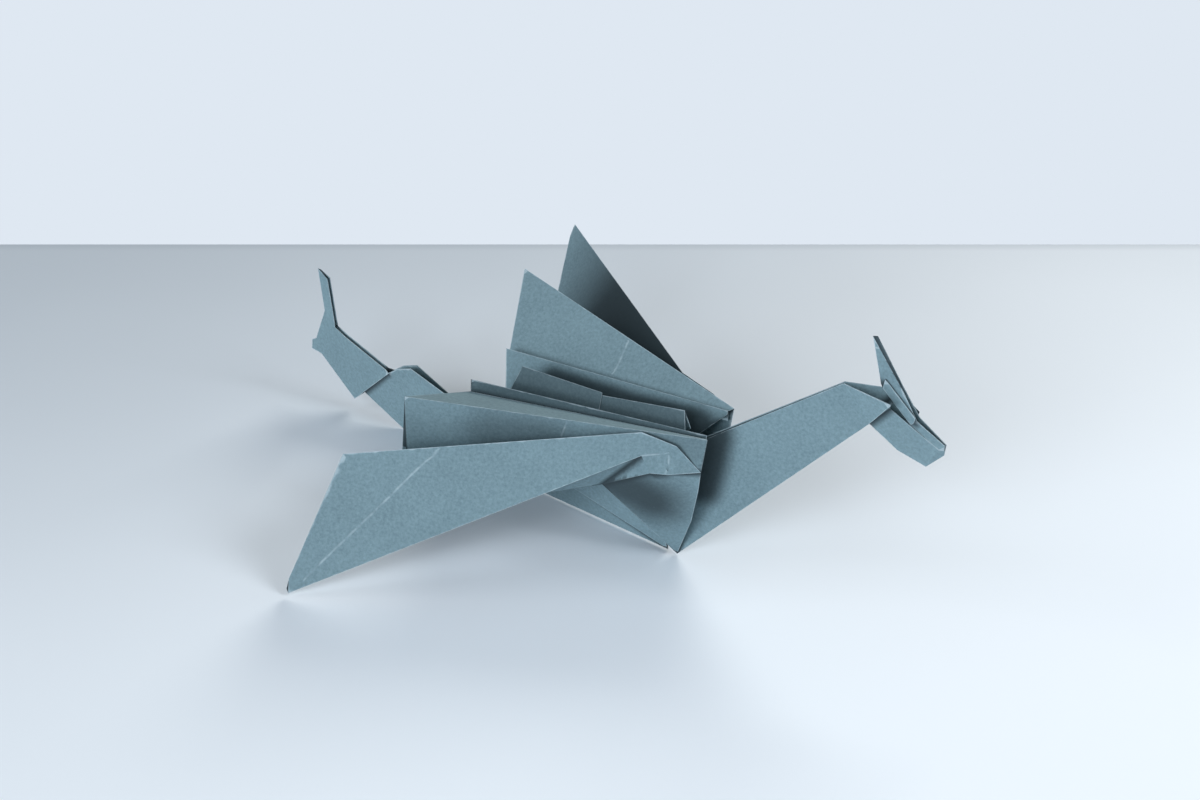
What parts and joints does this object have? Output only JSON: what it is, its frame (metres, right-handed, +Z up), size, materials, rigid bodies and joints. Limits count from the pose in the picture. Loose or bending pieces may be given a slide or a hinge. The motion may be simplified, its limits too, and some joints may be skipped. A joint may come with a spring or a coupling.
{
  "type": "origami dragon",
  "caption": "Dragon folded from one square paper sheet, with pleated spread wings, a closed-keel neck, a horned head and a crimped tail.",
  "frame": {"origin": "centre of the bounding box at table level, where the keel rests", "axes": "+X from tail to head, +Y to the dragon's left, +Z up"},
  "size_m": [0.1978, 0.1436, 0.0761],
  "materials": {
    "paper": "matte"
  },
  "bodies": {
    "root": {"folded_sheet": "paper"}
  },
  "joints": []
}
